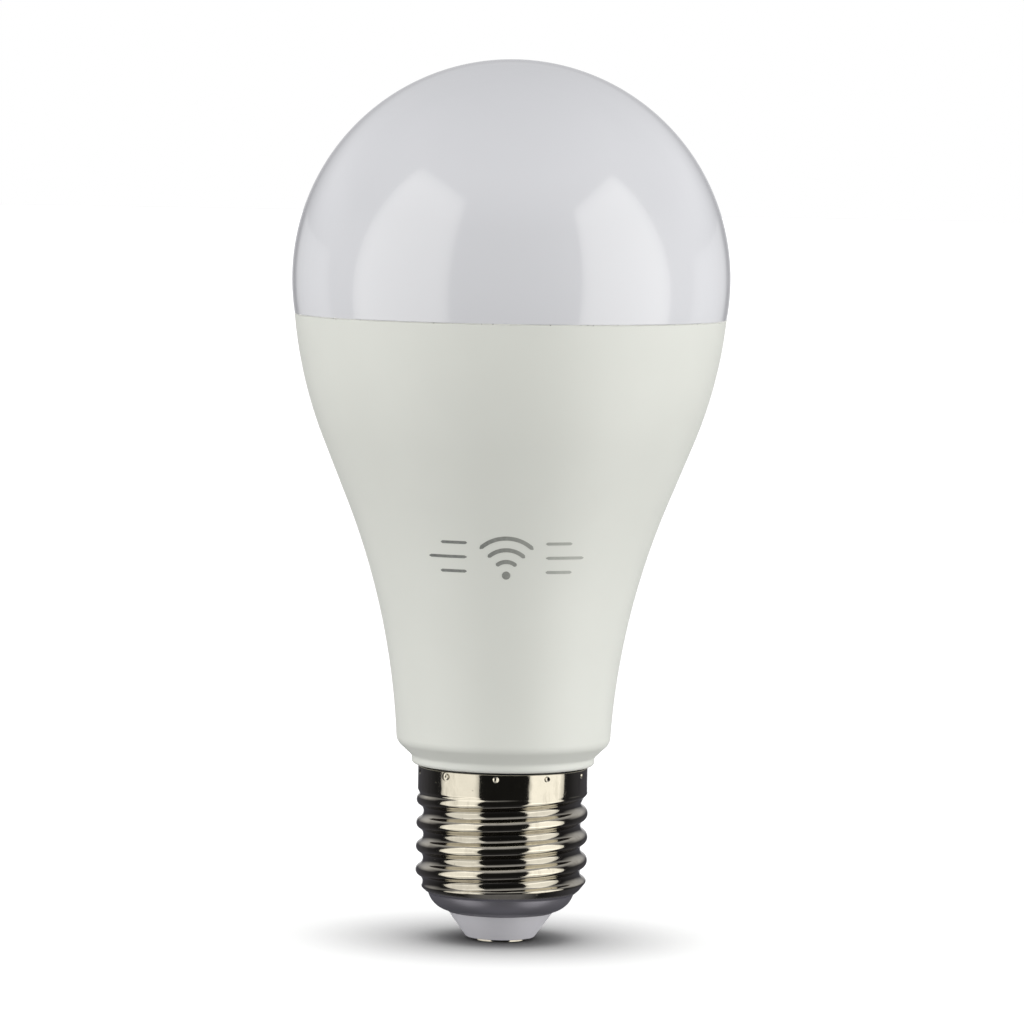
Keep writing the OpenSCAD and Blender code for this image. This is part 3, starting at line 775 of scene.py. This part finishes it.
def mark_material():
    """Grey ink, with a painted reflection for its metallic sheen: dark on the left and pale on the
    right.
    """
    recipe = Recipe("grey_print", Metallic=0.0, IOR=1.5)
    # Painted reflection: the ink runs from dark on the left to pale on the right, for the sheen of
    # metallic ink.
    across = recipe.remap(recipe.axis("X"), -12, 11, 0, 1)
    ink_and_painted_sheen = recipe.mix(across, srgb(88, 92, 90), srgb(176, 178, 172))
    patchy = recipe.remap(recipe.noise(0.5, 4, 0.6), 0.35, 0.7, 0.0, 0.18)
    recipe.colour(recipe.mix(patchy, ink_and_painted_sheen, srgb(206, 207, 202)))
    recipe.roughness(recipe.remap(recipe.noise(0.8), 0.3, 0.7, 0.3, 0.42))
    recipe.bump(recipe.noise(0.12, 2), 0.002)
    return recipe.material


def circuit_board(name, mask, normal_axis):
    """Solder mask over copper tracks, with tinned pads."""
    recipe = Recipe(name, IOR=1.5, Coat_Weight=0.2, Coat_Roughness=0.15)
    flat = {"X": (0.0, 1, 1), "Y": (1, 0.0, 1), "Z": (1, 1, 0.0)}[normal_axis]
    plane = recipe.stretched(*flat)
    turned = recipe.node("ShaderNodeMapping", Vector=plane, Rotation=(math.pi / 2, 0, 0)).outputs[0]
    bricks = recipe.node(
        "ShaderNodeTexBrick",
        Vector=turned if normal_axis == "Y" else plane,
        Scale=0.32,
        Mortar_Size=0.06,
        Brick_Width=1.6,
        Row_Height=0.5,
    )
    track = bricks.outputs["Fac"]
    cloud = recipe.mix(recipe.noise(3), shade(mask, 0.9), shade(mask, 1.1))
    with_tracks = recipe.mix(recipe.math("MULTIPLY", track, 0.6), cloud, shade(mask, 1.6))
    cells = recipe.node("ShaderNodeTexVoronoi", Vector=plane, Scale=0.28)
    pad = recipe.remap(cells.outputs["Distance"], 0.14, 0.16, 1, 0)
    recipe.colour(recipe.mix(pad, with_tracks, srgb(196, 194, 186)))
    recipe.metallic(recipe.math("MULTIPLY", pad, 0.9))
    recipe.roughness(recipe.remap(recipe.noise(1.5), 0.3, 0.7, 0.28, 0.4))
    recipe.bump(recipe.math("MAXIMUM", track, pad), 0.03)
    return recipe.material


def led_package(name, phosphor, count, ring_r, window_r, offset=0.0):
    """White LED bodies on a ring, each with a round window of phosphor."""
    recipe = Recipe(name, IOR=1.52, Coat_Weight=0.3, Coat_Roughness=0.1)
    x, y = recipe.axis("X"), recipe.axis("Y")
    step = 2 * math.pi / count
    turn = recipe.math("SUBTRACT", recipe.math("ARCTAN2", y, x), offset - step / 2)
    near = recipe.math("SUBTRACT", recipe.math("FLOORED_MODULO", turn, step), step / 2)
    across = recipe.math("MULTIPLY", near, ring_r)
    along = recipe.math("SUBTRACT", recipe.distance(x, y), ring_r)
    window = recipe.remap(recipe.distance(across, along), window_r - 0.05, window_r + 0.02, 1, 0)
    body = recipe.mix(recipe.noise(1), srgb(236, 236, 230), srgb(246, 246, 242))
    glow = recipe.mix(recipe.noise(0.4), shade(phosphor, 0.9), phosphor)
    recipe.colour(recipe.mix(window, body, glow))
    recipe.roughness(recipe.remap(window, 0, 1, 0.4, 0.22))
    recipe.bump(recipe.noise(0.2, 2), 0.003)
    return recipe.material


def legged(name, body, axis, centres, half):
    """A moulded component whose ends beyond this half width are tinned metal."""
    recipe = moulded(name, body, 0.55, 0.006, 0.12)
    place = recipe.axis(axis)
    reach = None
    for centre in centres:
        d = recipe.math("ABSOLUTE", recipe.math("SUBTRACT", place, centre))
        reach = d if reach is None else recipe.math("MINIMUM", reach, d)
    leg = recipe.remap(reach, half - 0.01, half + 0.02, 0, 1)
    recipe.colour(recipe.mix(leg, recipe.painted(), srgb(200, 200, 198)))
    recipe.metallic(leg)
    return recipe.material


def wound(name, colour, axis, wire, **fixed):
    """Turns of wire side by side along an axis, with painted shade in the hollows between turns."""
    recipe = Recipe(name, **fixed)
    wave = recipe.math("SINE", recipe.math("MULTIPLY", recipe.axis(axis), 2 * math.pi / wire))
    height = recipe.remap(wave, -1, 1, 0, 1)
    # Painted shade: the colour falls to under half in the hollows between turns.
    mixed = recipe.mix(height, shade(colour, 0.45), colour)
    stain = recipe.remap(recipe.noise(1.5), 0.3, 0.7, 0, 0.25)
    recipe.colour(recipe.mix(stain, mixed, shade(colour, 0.7)))
    recipe.roughness(recipe.remap(height, 0, 1, 0.5, 0.28))
    recipe.bump(height, wire * 0.35)
    return recipe.material


def striped_sleeve(name, colour, stripe, centre, half):
    """Shrunk sleeve with a paler stripe down one side."""
    recipe = moulded(name, colour, 0.3, 0.004, 0.4)
    off = recipe.math("ABSOLUTE", recipe.math("SUBTRACT", recipe.axis("X"), centre))
    band = recipe.remap(off, half - 0.05, half, 1, 0)
    recipe.colour(recipe.mix(band, recipe.painted(), stripe))
    return recipe.material


def banded_resistor():
    """Lacquered resistor with three colour bands."""
    recipe = moulded("lacquered_resistor", srgb(120, 168, 178), 0.35, 0.01, 0.5)
    paint = recipe.painted()
    z = recipe.axis("Z")
    for centre, colour in ((18.6, (60, 40, 30)), (20.2, (20, 20, 20)), (21.8, (190, 60, 30))):
        off = recipe.math("ABSOLUTE", recipe.math("SUBTRACT", z, centre))
        band = recipe.remap(off, 0.38, 0.42, 1, 0)
        paint = recipe.mix(band, paint, srgb(*colour))
    recipe.colour(paint)
    return recipe.material


def white_board():
    """White solder mask of the LED board, over faint ring-shaped tracks."""
    recipe = Recipe("white_solder_mask", IOR=1.5, Coat_Weight=0.2, Coat_Roughness=0.2)
    mottled(recipe, srgb(238, 239, 240), 0.02, 8)
    rings = recipe.node(
        "ShaderNodeTexWave",
        {"wave_type": "RINGS", "rings_direction": "Z"},
        Vector=recipe.stretched(1, 1, 0),
        Scale=0.08,
        Distortion=1.5,
        Detail=1.0,
    )
    recipe.roughness(recipe.remap(recipe.noise(4), 0.3, 0.7, 0.3, 0.42))
    recipe.bump(recipe.remap(rings.outputs["Fac"], 0.45, 0.55), 0.03)
    return recipe.material


def plastics():
    """CAD nodes of one moulded material: its name, colour and roughness, then its grain."""
    kinds = {
        "diffuser_sealant": ("silicone", (232, 232, 224), 0.5, 0.02, 0.8),
        "thermal_pad": ("thermal_pad", (140, 152, 166), 0.75, 0.02, 0.3, 0.1),
        "led_board_socket": ("white_nylon", (236, 236, 230), 0.45),
        "fuse_sleeve": ("fuse_sleeve", (48, 48, 52), 0.4, 0.01, 0.6),
        "varistor": ("dipped_epoxy", (38, 80, 164), 0.3, 0.03, 1.2),
        "film_capacitor": ("film_capacitor_case", (218, 172, 42), 0.35, 0.006, 0.6),
        "filter_inductor_core": ("sintered_ferrite", (46, 46, 49), 0.7, 0.02, 0.2, 0.12),
        "transformer_bobbin": ("bobbin_plastic", (32, 32, 34), 0.5),
        "live_lead": ("live_insulation", (186, 34, 30), 0.4, 0.004, 0.4),
        "neutral_lead": ("neutral_insulation", (34, 66, 150), 0.4, 0.004, 0.4),
    }
    made = {
        node: moulded(name, srgb(*colour), *finish).material
        for node, (name, colour, *finish) in kinds.items()
    }
    made["transformer_core"] = made["filter_inductor_core"]
    return made


def metals():
    """CAD nodes of one metal: its name, colour and roughness, and how it is drawn or scratched."""
    fine = {"scratch": 0.0005}
    kinds = {
        "heat_sink_cup": ("drawn_aluminium", (196, 198, 202), 0.32, {"stretch": (1, 1, 0.05)}),
        "led_board_screws": ("zinc_steel", (190, 190, 194), 0.3, {}),
        "driver_output_pins": ("plated_pins", (232, 202, 122), 0.35, fine),
        "wifi_shield_can": ("tinned_can", (206, 208, 210), 0.35, fine),
        "wifi_antenna": ("antenna_copper", (228, 152, 104), 0.4, fine),
        "bulk_capacitor_can": ("capacitor_can", (206, 208, 212), 0.3, {"stretch": (1, 1, 0.1)}),
    }
    return {
        node: metal(name, srgb(*colour), rough, **finish).material
        for node, (name, colour, rough, finish) in kinds.items()
    }


def components():
    """CAD nodes whose material shows legs, windings, windows, stripes or tracks."""
    black = srgb(26, 26, 28)
    twelfth = math.pi / 12
    return {
        "led_board": white_board(),
        "warm_leds": led_package("warm_leds", srgb(238, 178, 60), 12, 20, 1.1),
        "cool_leds": led_package("cool_leds", srgb(236, 220, 96), 12, 20, 1.1, twelfth),
        "colour_leds": led_package("colour_leds", srgb(226, 232, 226), 6, 12.8, 1.9, 2 * twelfth),
        "wifi_board": circuit_board("radio_board", srgb(18, 62, 70), "Y"),
        "wifi_header": legged("pin_header", black, "X", [9], 6.25),
        "driver_board": circuit_board("driver_board", srgb(26, 92, 52), "Y"),
        "fuse_resistor": banded_resistor(),
        "bridge_rectifier": legged("bridge_rectifier", black, "X", [0], 2.4),
        "filter_inductor_winding": wound(
            "enamelled_copper", srgb(196, 104, 56), "Y", 0.35, Metallic=0.9
        ),
        "bulk_capacitor_sleeve": striped_sleeve(
            "bulk_capacitor_sleeve", srgb(24, 34, 74), srgb(150, 160, 186), 9.5, 0.8
        ),
        "transformer_winding": wound(
            "winding_tape", srgb(226, 192, 60), "Z", 2.6, Coat_Weight=0.3
        ),
        "output_capacitor": striped_sleeve(
            "output_capacitor_sleeve", srgb(30, 50, 104), srgb(170, 178, 196), -7.6, 0.7
        ),
        "output_diode": legged("output_diode", black, "X", [-8], 2.2),
        "driver_ic": legged("driver_ic", black, "Z", [60], 1.95),
        "smd_resistors": legged("smd_resistors", black, "X", [-10, -5], 1.2),
    }


# ---------------------------------------------------------------------------------------------
# Studio
# ---------------------------------------------------------------------------------------------

CAMERA_AT = (0.00072, -0.9, 0.128)
CAMERA_AIM_Z = 0.0658
CAMERA_ROLL = math.radians(1.0)
LENS = 206.9
BULB_MIDDLE = (0, 0, 0.07)

# Softboxes: azimuth from the camera (positive to the right), elevation and roll in degrees, left
# and right edge, bottom and top edge in metres, radiance
WARM = (1.0, 0.99, 0.955)
SOFTBOXES = {
    "left_softbox": (-65.7, -7.4, -8.6, (-0.217, 0.329), (-0.24, 0.778), 1.2),
    "right_softbox": (79, -9.8, 8.6, (-0.448, 0.105), (-0.24, 0.783), 1.38),
}
MIRRORED_HEIGHT = (-0.95, -0.22)
MIRRORED_RADIANCE = 0.9
BACK_CARDS = {"left_back_card": -130, "right_back_card": 130}
CARD_EDGES = ((-0.2, 0.2), (-0.2, 0.1))
CARD_RADIANCE = 0.3
FLOOR_REACH = 6
FLOOR_ALBEDO = 0.35
FLOOR_SUNS = ((46, 2.8), (120, 7.0))  # angle across in degrees, strength
CONTACT_SHADOW_REACH = 0.021


def make_camera():
    """Level with the globe, a little to the right, rolled so that the bulb leans one degree."""
    pitch = math.atan2(CAMERA_AT[2] - CAMERA_AIM_Z, -CAMERA_AT[1])
    forward = Vector((0, math.cos(pitch), -math.sin(pitch)))
    right, up = Vector((1, 0, 0)), Vector((0, math.sin(pitch), math.cos(pitch)))
    turned_up = up * math.cos(CAMERA_ROLL) - right * math.sin(CAMERA_ROLL)
    turned_right = right * math.cos(CAMERA_ROLL) + up * math.sin(CAMERA_ROLL)
    data = bpy.data.cameras.new("camera")
    data.sensor_width = 36
    data.lens = LENS
    data.clip_start, data.clip_end = 0.01, 20
    camera = bpy.data.objects.new("camera", data)
    axes = Matrix((turned_right, turned_up, -forward)).transposed().to_4x4()
    camera.matrix_world = Matrix.Translation(CAMERA_AT) @ axes
    bpy.context.scene.collection.objects.link(camera)
    bpy.context.scene.camera = camera


def softbox(name, facing, across_edges, up_edges, radiance, colour=(1, 1, 1)):
    """A flat light with soft edges, 0.5 m from the bulb. See SOFTBOXES for the arguments."""
    azimuth, elevation, roll = (math.radians(angle) for angle in facing)
    (left, right), (bottom, top) = across_edges, up_edges
    out = Vector(
        (
            math.sin(azimuth) * math.cos(elevation),
            -math.cos(azimuth) * math.cos(elevation),
            math.sin(elevation),
        )
    )
    level = Vector((0, 0, 1)).cross(out).normalized()
    steep = out.cross(level)
    across = level * math.cos(roll) + steep * math.sin(roll)
    up = steep * math.cos(roll) - level * math.sin(roll)
    data = bpy.data.lights.new(name, "AREA")
    data.shape = "RECTANGLE"
    data.size, data.size_y = right - left, top - bottom
    data.energy = radiance * math.pi * data.size * data.size_y
    data.color = colour
    soften(data)
    light = bpy.data.objects.new(name, data)
    middle = across * (left + right) / 2 + up * (bottom + top) / 2
    axes = Matrix((across, up, out)).transposed().to_4x4()
    light.matrix_world = Matrix.Translation(Vector(BULB_MIDDLE) + out * 0.5 + middle) @ axes
    light.visible_camera = False
    bpy.context.scene.collection.objects.link(light)
    return light


def soften(data):
    """The cloth of a softbox is a little darker along its edges."""
    data.use_nodes = True
    cloth = Nodes(data.node_tree)
    place = cloth.node("ShaderNodeNewGeometry").outputs["Parametric"]
    split = cloth.node("ShaderNodeSeparateXYZ", _0=place)
    fades = []
    for axis in ("X", "Y"):
        off = cloth.math("ABSOLUTE", cloth.math("SUBTRACT", split.outputs[axis], 0.5))
        fades.append(cloth.remap(off, 0.36, 0.5, 1.06, 0.66, True))
    emission = next(node for node in cloth.tree.nodes if node.type == "EMISSION")
    cloth.tree.links.new(cloth.math("MULTIPLY", *fades), emission.inputs["Strength"])


def make_floor():
    """A plain pale floor, with a painted contact shadow: darker where something stands close to it.
    """
    mesh = bpy.data.meshes.new("floor")
    signs = ((-1, -1), (1, -1), (1, 1), (-1, 1))
    corners = [(x * FLOOR_REACH, y * FLOOR_REACH, 0) for x, y in signs]
    mesh.from_pydata(corners, [], [(0, 1, 2, 3)])
    floor = bpy.data.objects.new("floor", mesh)
    bpy.context.scene.collection.objects.link(floor)
    recipe = Recipe("pale_floor", Roughness=0.9, Specular_IOR_Level=0.0)
    # Painted shadow: the floor's colour goes to black where the bulb stands close to it.
    near = recipe.node("ShaderNodeAmbientOcclusion", Distance=CONTACT_SHADOW_REACH).outputs["AO"]
    pale = (FLOOR_ALBEDO, FLOOR_ALBEDO, FLOOR_ALBEDO, 1)
    recipe.colour(recipe.mix(near, (0, 0, 0, 1), pale))
    floor.data.materials.append(recipe.material)
    floor.visible_glossy = False
    floor.visible_diffuse = False
    floor.visible_shadow = False
    return floor


def light_link(light, target, state):
    """Whether a light reaches this object alone ("INCLUDE") or everything else ("EXCLUDE")."""
    group = bpy.data.collections.new(f"{light.name}_reach")
    group.objects.link(target)
    group.collection_objects[0].light_linking.link_state = state
    light.light_linking.receiver_collection = group


def grey(value, blue=0.0):
    return (value, value, value + blue, 1)


def make_world():
    """White to the camera, a soft fill for matte surfaces, and a dark studio in reflections."""
    world = bpy.data.worlds.new("studio")
    bpy.context.scene.world = world
    world.use_nodes = True
    world.cycles.sampling_method = "NONE"
    sky = Nodes(world.node_tree)
    sky.tree.nodes.clear()
    direction = sky.node("ShaderNodeTexCoord").outputs["Generated"]
    split = sky.node("ShaderNodeSeparateXYZ", _0=direction)
    path = sky.node("ShaderNodeLightPath")
    x, y, z = (split.outputs[axis] for axis in "XYZ")

    walls = sky.mix(sky.remap(y, -0.86, -0.74), grey(0.012), grey(0.02, 0.002))
    walls = sky.mix(sky.remap(y, 0.2, 0.8), walls, grey(0.075, 0.013))
    low_back, high_back = sky.remap(y, 0.95, 0.99), sky.remap(y, 0.2, 0.7)
    back = sky.mix(sky.remap(z, 0.05, 0.35), low_back, high_back)
    walls = sky.mix(back, walls, grey(0.56, 0.02))
    studio = sky.mix(sky.remap(z, 0.45, 0.8), walls, grey(0.55, 0.02))
    studio = sky.mix(sky.remap(z, -0.88, -0.97), studio, grey(0.2, 0.015))

    fill = sky.mix(sky.remap(z, -0.6, 0.3), grey(0.18), grey(0.33))
    fill = sky.mix(sky.remap(z, 0.3, 1.0), fill, grey(0.64))
    fill = sky.mix(sky.remap(y, 0.5, 1.0), fill, grey(0.9))
    fill = sky.mix(sky.remap(x, -0.6, -1.0), fill, grey(0.95))
    fill = sky.mix(sky.remap(x, 0.6, 1.0), fill, grey(1.2))

    seen = sky.mix(path.outputs["Is Glossy Ray"], fill, studio)
    seen = sky.mix(path.outputs["Is Camera Ray"], seen, grey(1))
    background = sky.node("ShaderNodeBackground", _0=seen, _1=1.0)
    output = sky.node("ShaderNodeOutputWorld")
    sky.tree.links.new(background.outputs[0], output.inputs["Surface"])


def make_floor_light(floor):
    """Overhead light for the floor alone: it keeps the floor white around the bulb's shadow."""
    for spread, strength in FLOOR_SUNS:
        data = bpy.data.lights.new(f"floor_light_{spread}", "SUN")
        data.angle = math.radians(spread)
        data.energy = strength
        light = bpy.data.objects.new(data.name, data)
        light.location = (0, 0, 1.2)
        light.visible_camera = False
        light.visible_glossy = False
        bpy.context.scene.collection.objects.link(light)
        light_link(light, floor, "INCLUDE")


def make_studio(globe):
    """The floor, the surroundings, two softboxes with their images in the table, two cards."""
    floor = make_floor()
    make_world()
    for name, (azimuth, elevation, roll, across, up, radiance) in SOFTBOXES.items():
        light = softbox(name, (azimuth, elevation, roll), across, up, radiance, WARM)
        mirrored = softbox(
            f"{name}_in_table", (azimuth, 0, 0), across, MIRRORED_HEIGHT, MIRRORED_RADIANCE, WARM
        )
        mirrored.visible_diffuse = False
        for lamp in (light, mirrored):
            light_link(lamp, floor, "EXCLUDE")
    for name, azimuth in BACK_CARDS.items():
        card = softbox(name, (azimuth, 0, 0), *CARD_EDGES, CARD_RADIANCE)
        light_link(card, globe, "INCLUDE")
    make_floor_light(floor)
    bpy.context.scene.view_settings.view_transform = "Standard"


# ---------------------------------------------------------------------------------------------
# Build
# ---------------------------------------------------------------------------------------------


def assign(piece, material):
    """One material for the whole piece."""
    piece.data.materials.clear()
    piece.data.materials.append(material)


make_camera()
nickel = nickel_material()
housing = housing_material()
globe = make_globe()
assign(globe, globe_material())
assign(make_housing(), housing)
assign(make_seam_flash(), flash_material())
assign(make_screw_shell(), nickel)
assign(make_insulator(), insulator_material())
assign(make_contact(), nickel)
assign(make_mark(), mark_material())
for node_name, material in {**plastics(), **metals(), **components()}.items():
    cad_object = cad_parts[node_name]
    for index in range(len(cad_object.material_slots)):
        cad_object.material_slots[index].material = material
make_studio(globe)
